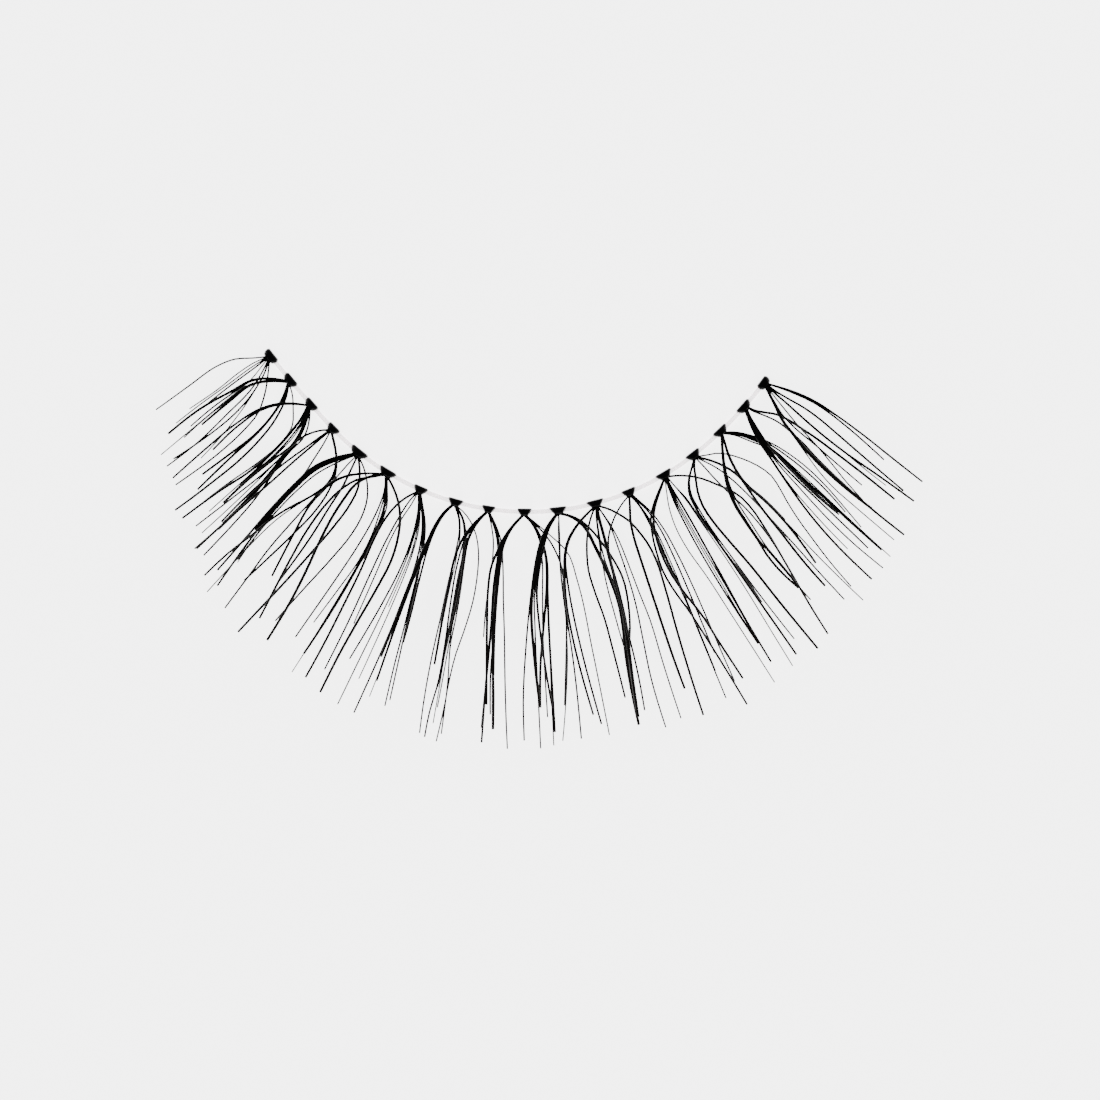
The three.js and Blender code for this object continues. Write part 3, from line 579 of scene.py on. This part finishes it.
def smooth_line(points: np.ndarray, shares: np.ndarray) -> np.ndarray:
    """A smooth line through points.

    Between two points it is the cubic that has their places and slopes. The slope at a point is the mean of
    the slopes of the two straight runs that meet there, each weighted with the other run's length. At an end
    it is one and a half times its run's slope less half the next point's.

    Args:
        points: the places that the line passes, one row each, at least three.
        shares: how far along the line each wanted place lies, from 0 to 1.

    Returns:
        One place for each share.
    """
    runs = np.diff(points, axis=0)
    lengths = np.linalg.norm(runs, axis=1)
    passed = np.concatenate([[0.0], np.cumsum(lengths)])
    slopes = runs / lengths[:, None]
    weights = lengths[:-1, None] + lengths[1:, None]
    inner = (slopes[:-1] * lengths[1:, None] + slopes[1:] * lengths[:-1, None]) / weights
    first = 1.5 * slopes[:1] - 0.5 * inner[:1]
    last = 1.5 * slopes[-1:] - 0.5 * inner[-1:]
    tangents = np.concatenate([first, inner, last])
    wanted = shares * passed[-1]
    run = np.clip(np.searchsorted(passed, wanted, side="right") - 1, 0, len(lengths) - 1)
    step = ((wanted - passed[run]) / lengths[run])[:, None]
    size = lengths[run][:, None]
    return (
        (1 + 2 * step) * (1 - step) ** 2 * points[run]
        + step * (1 - step) ** 2 * size * tangents[run]
        + step**2 * (3 - 2 * step) * points[run + 1]
        + step**2 * (step - 1) * size * tangents[run + 1]
    )


def tubes(paths: np.ndarray, radii: np.ndarray, sides: int) -> np.ndarray:
    """Rings of corners round several paths of the same number of places.

    A ring's corner is the path's place, plus the radius times the cosine of the corner's angle across the
    path and level, plus the radius times its sine at right angles to both.

    Args:
        paths: places, as tube by ring by coordinate.
        radii: the tube's radius at each place, as tube by ring.
        sides: corners in a ring.

    Returns:
        The corners, as tube by ring by corner by coordinate.
    """
    along = unit(np.gradient(paths, axis=1))
    level = unit(np.stack([-along[..., 1], along[..., 0], np.zeros_like(radii)], axis=2))
    over = np.cross(along, level)
    angle = circle(sides)[:, None]
    ring = np.cos(angle) * level[:, :, None] + np.sin(angle) * over[:, :, None]
    return paths[:, :, None] + radii[:, :, None, None] * ring


def put_in_scene(name: str, data: bpy.types.ID) -> bpy.types.Object:
    """Makes an object of a mesh, a lamp or a camera, at the origin."""
    made = bpy.data.objects.new(name, data)
    bpy.context.scene.collection.objects.link(made)
    return made


def make_piece(name: str, rings: np.ndarray, material: bpy.types.Material) -> bpy.types.Object:
    """Makes a smooth piece that moves with the strip, from one closed tube or from several.

    Four-sided walls join each ring to the next, and a flat cap closes the first and the last.

    Args:
        name: the piece's name.
        rings: corners in millimetres in the row's frame, as tube by ring by corner by coordinate. Seen from
            the tube's last ring, each ring runs anticlockwise.
        material: what covers it.

    Returns:
        The piece, at the origin, unturned and unscaled.
    """
    index = np.arange(math.prod(rings.shape[:3])).reshape(rings.shape[:3])
    after = np.roll(index, -1, axis=2)
    walls = np.stack([index[:, :-1], after[:, :-1], after[:, 1:], index[:, 1:]], axis=-1)
    caps = np.concatenate([index[:, 0, ::-1], index[:, -1]])
    faces = walls.reshape(-1, 4).tolist() + caps.tolist()
    mesh = bpy.data.meshes.new(name)
    mesh.from_pydata((rings.reshape(-1, 3) * METRES).tolist(), [], faces)
    mesh.polygons.foreach_set("use_smooth", np.ones(len(faces), dtype=bool))
    mesh.materials.append(material)
    mesh.update()
    piece = put_in_scene(name, mesh)
    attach(piece, "root")
    return piece


@dataclass(frozen=True)
class Arc:
    """A run of the band: its share of the band's length, and the degrees that it turns by."""

    share: float
    turn: float


@dataclass
class Band:
    """The strip of clear film that runs through every knot."""

    length: float = 29.6
    width: float = 0.22
    thickness: float = 0.12
    clearance: float = 0.10
    start_heading: float = -51.6
    arcs: tuple[Arc, ...] = (Arc(0.15, 4.0), Arc(0.70, 88.0), Arc(0.15, 12.5))
    steps: int = 180
    corners: int = 16
    squareness: float = 3.5
    finish: FilmFinish = field(default_factory=FilmFinish)
    node: str = "band"
    shift: np.ndarray = field(init=False)

    def __post_init__(self) -> None:
        """Finds the move that lays the strip's own frame, which starts at the band's end, on the row's."""
        self.shift = np.zeros(2)
        line, across = self.line()
        edges = np.concatenate([line + across, line - across])
        low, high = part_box(self.node)
        middle = np.array([low.x + high.x, low.y + high.y]) / 2 / METRES
        self.shift = middle - (edges.min(0) + edges.max(0)) / 2

    def at(self, shares: np.ndarray) -> tuple[np.ndarray, np.ndarray]:
        """Places and headings along the band.

        On each arc the heading grows evenly. The place moves on by the arc's length times the mean of the
        cosines, and of the sines, of the headings passed, which for an even turn is their difference of
        sines, and of cosines, over the turn.

        Args:
            shares: how far along the band, from 0 to 1.

        Returns:
            The places, one row each, and the headings in radians.
        """
        start, heading = 0.0, math.radians(self.start_heading)
        places = np.tile(self.shift, (len(shares), 1))
        headings = np.full(len(shares), heading)
        for arc in self.arcs:
            turn = math.radians(arc.turn)
            turned = turn * np.clip((shares - start) / arc.share, 0.0, 1.0)
            end = heading + turned
            swing = np.stack([np.sin(end) - math.sin(heading), math.cos(heading) - np.cos(end)], axis=1)
            places += arc.share * self.length / turn * swing
            headings += turned
            start, heading = start + arc.share, heading + turn
        return places, headings

    def line(self) -> tuple[np.ndarray, np.ndarray]:
        """Places in even steps along the band, and the way from each to the film's left edge."""
        places, headings = self.at(np.linspace(0.0, 1.0, self.steps + 1))
        return places, np.stack([-np.sin(headings), np.cos(headings)], axis=1) * self.width / 2

    def carry(self, share: float, local: np.ndarray) -> np.ndarray:
        """Moves places from a cluster's own frame to the row's.

        A place becomes the cluster's place on the band, plus its first length along the band's heading, plus
        its second at right angles to it, away from the eye.

        Args:
            share: where the cluster sits along the band, from 0 to 1.
            local: places in the cluster's frame, whose last axis holds the two lengths.

        Returns:
            The places in the row's frame.
        """
        place, heading = self.at(np.array([share]))
        along = np.concatenate([np.cos(heading), np.sin(heading)])
        away = np.concatenate([np.sin(heading), -np.cos(heading)])
        return place[0] + local[..., :1] * along + local[..., 1:] * away

    def build(self) -> bpy.types.Object:
        """Makes the film.

        Its section is a rounded rectangle that stands across the line: the cosine and the sine of the angle,
        each with its size raised to 2 over the squareness, times half the width and half the thickness.

        Returns:
            The piece.
        """
        line, across = self.line()
        angle = circle(self.corners)
        round_section = np.stack([np.cos(angle), np.sin(angle)])
        side, rise = np.sign(round_section) * np.abs(round_section) ** (2 / self.squareness)
        flat = line[:, None] + side[:, None] * across[:, None]
        rings = with_height(flat, self.clearance + self.thickness / 2 * (1 + rise))
        piece = make_piece("band_film", rings[None], self.finish.dress())
        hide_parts(self.node)
        return piece


@dataclass
class Knots:
    """The glue knots: wide on the eye side, pointed at both corners there, narrow where the lashes leave.

    The outlines hold half widths to the side and depths outwards, as shares. The sections hold heights and
    the outline's size at each, as shares. `waves` says how often each slow wave goes round.
    """

    width: float = 0.92
    inner_edge: float = -0.18
    depth: float = 0.40
    height: float = 0.38
    centre: float = 0.45
    slanted: tuple[Pair, ...] = ((0.85, 0.00), (1.00, 0.14), (0.80, 0.46), (0.59, 0.80), (0.44, 1.00))
    bulging: tuple[Pair, ...] = ((0.80, -0.04), (0.97, 0.25), (0.94, 0.62), (0.75, 0.94), (0.40, 1.08))
    sections: tuple[Pair, ...] = (
        (0.00, 0.90), (0.08, 0.97), (0.22, 1.00), (0.48, 0.97),
        (0.70, 0.92), (0.86, 0.83), (0.96, 0.70), (1.00, 0.52),
    )
    edge_steps: int = 6
    waves: tuple[int, ...] = (2, 3, 4)
    unevenness: float = 0.012
    finish: GlueFinish = field(default_factory=GlueFinish)

    def rim(self, fullness: float) -> np.ndarray:
        """The outline in shares, anticlockwise from above.

        It lies between the slanted and the bulging outline. Every edge is cut into equal steps. Each place
        then moves to half of itself plus a quarter of its two neighbours' sum, which rounds the corners.

        Args:
            fullness: the share of the way from the slanted outline to the bulging one.

        Returns:
            Places, one row each: half widths to the side and depths outwards.
        """
        half = np.array(self.slanted) * (1 - fullness) + np.array(self.bulging) * fullness
        mirrored = np.array([-1.0, 1.0])
        corners = np.concatenate([half[::-1], half * mirrored])
        after = np.roll(corners, -1, axis=0)
        part = (np.arange(self.edge_steps) / self.edge_steps)[None, :, None]
        rim = (corners[:, None] * (1 - part) + after[:, None] * part).reshape(-1, 2)
        return rim / 2 + (np.roll(rim, 1, axis=0) + np.roll(rim, -1, axis=0)) / 4

    def build(self, number: int, row: ClusterRow, band: Band, glue: bpy.types.Material) -> bpy.types.Object:
        """Makes one knot.

        A place on it is the outline's place, drawn towards the knot's centre by its section's share, at its
        section's height. Slow waves of chance phases round the outline make it uneven above its underside.

        Args:
            number: which cluster it is, from 1.
            row: the cluster.
            band: the band that it sits on.
            glue: its material.

        Returns:
            The piece.
        """
        chance = np.random.default_rng([Uneven.KNOTS.value, number])
        rim = self.rim(row.fullness)
        up, plan = np.array(self.sections).T[..., None]
        turn = circle(len(rim))
        phases = chance.uniform(0.0, math.tau, (len(self.waves), len(up), 1))
        ripple = sum(np.sin(times * turn + phase) / (times - 1) for times, phase in zip(self.waves, phases))
        swell = plan * (1 + self.unevenness * ripple * (up > 0.0))
        side = rim[:, 0] * swell * self.width * row.knot / 2
        out = (self.centre + (rim[:, 1] - self.centre) * swell) * self.depth + self.inner_edge
        flat = band.carry(row.at, np.stack([side, out], axis=2))
        piece = make_piece(f"lash_knot_{number:02d}", with_height(flat, up * self.height)[None], glue)
        return piece


@dataclass
class Fan:
    """The fibres of one cluster, before they get their height.

    `flat` holds their places in the cluster's own frame, `lift` and `radii` one number for each of these
    places, and `chance` one for each fibre.
    """

    flat: np.ndarray
    lift: np.ndarray
    radii: np.ndarray
    chance: np.ndarray


@dataclass
class Lashes:
    """All the fans of lashes, which spread from their knots, cross their neighbours and curl up.

    `eye_radius` is that of the eyelid's arc. `early` crowds a fibre's steps towards its root. `root_share`
    and `tip_share` are its thickness at its ends, as shares of the whole. `uneven` is how far its thickness
    may stray, `wander` how far its line does, and `lift` how far its height does, as a share of `fibre`.
    """

    reach: float = 12.0
    eye_radius: float = 13.49
    fibre: float = 0.11
    root_out: float = 0.175
    root_spread: float = 0.135
    root_height: float = 0.2356
    curl_radius: float = 26.0
    layer_slope: float = 0.1754
    ground_gap: float = 0.01
    steps: int = 26
    sides: int = 6
    early: float = 1.35
    root_share: float = 0.90
    root_run: float = 0.22
    tip_share: float = 0.85
    tip_start: float = 7.0
    uneven: float = 0.12
    wander: float = 0.02
    waves: Pair = (0.6, 1.3)
    lift: float = 0.1
    lift_run: float = 0.25
    finish: FibreFinish = field(default_factory=FibreFinish)
    uv_name: str = "fibre"

    def fan(self, number: int, row: ClusterRow) -> Fan:
        """Lays out one cluster's fibres as seen from above.

        The roots stand in even steps across the knot. Each fibre goes smoothly from its root through its
        path, and wanders across it by a slow wave that grows towards the tip. Its radius grows evenly from
        the root's share to the whole, then falls to the tip's share by a power of the share along it. Its
        lift is a chance height that sets in evenly from the root.

        Args:
            number: which cluster it is, from 1.
            row: the cluster.

        Returns:
            The fibres.
        """
        chance = np.random.default_rng([Uneven.FANS.value, number])
        shares = np.linspace(0.0, 1.0, self.steps) ** self.early
        count = len(row.lashes)
        roots = ((2 * np.arange(count) + 1) / count - 1) * self.root_spread * row.knot
        line = np.stack([
            smooth_line(np.vstack([[root, self.root_out], lash.places(self.reach)]), shares)
            for root, lash in zip(roots, row.lashes)
        ])
        along = unit(np.gradient(line, axis=1))
        across = np.stack([-along[..., 1], along[..., 0]], axis=2)
        turns = chance.uniform(*self.waves, (count, 1)) * shares + chance.uniform(0.0, 1.0, (count, 1))
        beside = self.wander * np.sin(math.tau * turns) * shares
        lift = chance.uniform(-self.lift, self.lift, (count, 1)) * self.fibre
        builds = np.array([[lash.build.value] for lash in row.lashes])
        thickness = self.fibre * builds * chance.uniform(1 - self.uneven, 1 + self.uneven, (count, 1))
        swell = self.root_share + (1 - self.root_share) * np.minimum(shares / self.root_run, 1.0)
        taper = 1 - (1 - self.tip_share) * shares**self.tip_start
        return Fan(
            flat=line + across * beside[..., None],
            lift=lift * np.minimum(shares / self.lift_run, 1.0),
            radii=thickness / 2 * swell * taper,
            chance=chance.uniform(0.0, 1.0, count),
        )

    def level(self, fan: Fan) -> tuple[np.ndarray, np.ndarray]:
        """Heights before the common rise, and distances from the band.

        The distance is measured from the circle that the eyelid's arc lies on. The height is the root's, plus
        the curl, which is the curl's radius less the root of its square less the distance's square, less the
        slope to the side that lets neighbouring fans cross, plus the fibre's own lift.

        Args:
            fan: the fibres.

        Returns:
            The heights and the distances, as fibre by step.
        """
        side, out = fan.flat[..., 0], fan.flat[..., 1]
        away = np.hypot(side, out + self.eye_radius) - self.eye_radius
        curl = self.curl_radius - np.sqrt(self.curl_radius**2 - away**2)
        return self.root_height + curl - self.layer_slope * side + fan.lift, away

    def rise(self, fans: list[Fan]) -> float:
        """The least slope away from the band that keeps every fibre clear of the ground.

        Args:
            fans: all the fans.

        Returns:
            The greatest, over all places, of what a fibre's underside lacks over its distance, or none.
        """
        needs = [0.0]
        for fan in fans:
            height, away = self.level(fan)
            lack = self.ground_gap + fan.radii - height
            needs.append(float((lack[:, 1:] / away[:, 1:]).max()))
        return max(needs)

    def build(
        self, number: int, row: ClusterRow, fan: Fan, slope: float, band: Band, fibre: bpy.types.Material
    ) -> bpy.types.Object:
        """Makes one cluster's lashes.

        Args:
            number: which cluster it is, from 1.
            row: the cluster.
            fan: its fibres.
            slope: the common rise away from the band.
            band: the band that its knot sits on.
            fibre: its material.

        Returns:
            The piece, with the share along each fibre and the fibre's chance number as its UV layer.
        """
        height, away = self.level(fan)
        paths = with_height(band.carry(row.at, fan.flat), height + slope * away)
        rings = tubes(paths, fan.radii, self.sides)
        piece = make_piece(f"lash_fan_{number:02d}", rings, fibre)
        share = np.broadcast_to(np.linspace(0.0, 1.0, self.steps)[:, None], rings.shape[:3])
        own = np.broadcast_to(fan.chance[:, None, None], rings.shape[:3])
        by_corner = np.stack([share.ravel(), own.ravel()], axis=1)
        loops = np.empty(len(piece.data.loops), dtype=np.int64)
        piece.data.loops.foreach_get("vertex_index", loops)
        layer = piece.data.uv_layers.new(name=self.uv_name)
        layer.data.foreach_set("uv", by_corner[loops].ravel())
        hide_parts(f"lash_cluster_{number:02d}")
        return piece


@dataclass
class Studio:
    """The white paper that the strip lies on, soft light from all round, and the camera straight above.

    The paper's and the lamps' sizes and places, and the camera's two clipping distances, are in metres.
    """

    paper: float = 0.8
    view_width: float = 55.0
    view_centre: Pair = (13.95, -9.68)
    lens: float = 300.0
    sensor: float = 36.0
    clips: Pair = (0.01, 10.0)
    sky: float = 0.15
    lamp_size: float = 0.5
    lamp_power: float = 3.0
    lamps: tuple[tuple[float, float, float], ...] = (
        (-0.62, 0.25, 0.45),
        (0.62, 0.25, 0.45),
        (0.0, -0.68, 0.40),
    )
    finish: FloorFinish = field(default_factory=FloorFinish)

    def lay_paper(self) -> None:
        """Makes the floor, a flat square round the origin just under the strip."""
        half = self.paper / 2
        corners = [(-half, -half, 0.0), (half, -half, 0.0), (half, half, 0.0), (-half, half, 0.0)]
        mesh = bpy.data.meshes.new("paper")
        mesh.from_pydata(corners, [], [range(len(corners))])
        mesh.materials.append(self.finish.dress())
        floor = put_in_scene("paper", mesh)

    def light(self) -> None:
        """Lights the scene from a dim sky all round and from broad lamps at its sides."""
        world = bpy.data.worlds.new("soft_sky")
        world.use_nodes = True
        sky = world.node_tree.nodes["Background"]
        sky.inputs["Color"].default_value = WHITE
        sky.inputs["Strength"].default_value = self.sky
        bpy.context.scene.world = world
        lamp = bpy.data.lights.new("broad_lamp", "AREA")
        lamp.shape = "DISK"
        lamp.size = self.lamp_size
        lamp.energy = self.lamp_power
        for number, place in enumerate(self.lamps, start=1):
            holder = put_in_scene(f"broad_lamp_{number}", lamp)
            holder.location = place
            holder.rotation_euler = (-Vector(place)).to_track_quat("-Z", "Y").to_euler()

    def aim(self, band: Band) -> None:
        """Stands the camera straight above the middle of the view, as far off as its lens needs."""
        camera = bpy.data.cameras.new("overhead")
        camera.lens = self.lens
        camera.sensor_width = self.sensor
        camera.sensor_height = self.sensor
        camera.clip_start, camera.clip_end = self.clips
        distance = self.view_width * METRES * self.lens / self.sensor
        centre = (np.array(self.view_centre) + band.shift) * METRES
        holder = put_in_scene("overhead", camera)
        holder.location = (*centre, distance)
        bpy.context.scene.camera = holder


@dataclass
class Strip:
    """The whole strip."""

    band: Band = field(default_factory=Band)
    knots: Knots = field(default_factory=Knots)
    lashes: Lashes = field(default_factory=Lashes)
    clusters: tuple[ClusterRow, ...] = CLUSTERS

    def build(self) -> None:
        """Builds the film, then each cluster's knot and lashes."""
        log.info("band: %s", self.band.build().name)
        glue = self.knots.finish.dress()
        fibre = self.lashes.finish.dress(self.lashes.uv_name)
        fans = [self.lashes.fan(number, row) for number, row in enumerate(self.clusters, start=1)]
        slope = self.lashes.rise(fans)
        log.info("the lashes rise by %.4f from the band outwards", slope)
        for number, (row, fan) in enumerate(zip(self.clusters, fans), start=1):
            knot = self.knots.build(number, row, self.band, glue)
            lashes = self.lashes.build(number, row, fan, slope, self.band, fibre)
            log.info("%s, %s: %d fibres", knot.name, lashes.name, len(row.lashes))


def main() -> None:
    """Builds the strip, then sets it in the studio."""
    logging.basicConfig(level=logging.INFO, format="%(name)s: %(message)s")
    strip = Strip()
    strip.build()
    studio = Studio()
    studio.lay_paper()
    studio.light()
    studio.aim(strip.band)


if __name__ == "__main__":
    main()
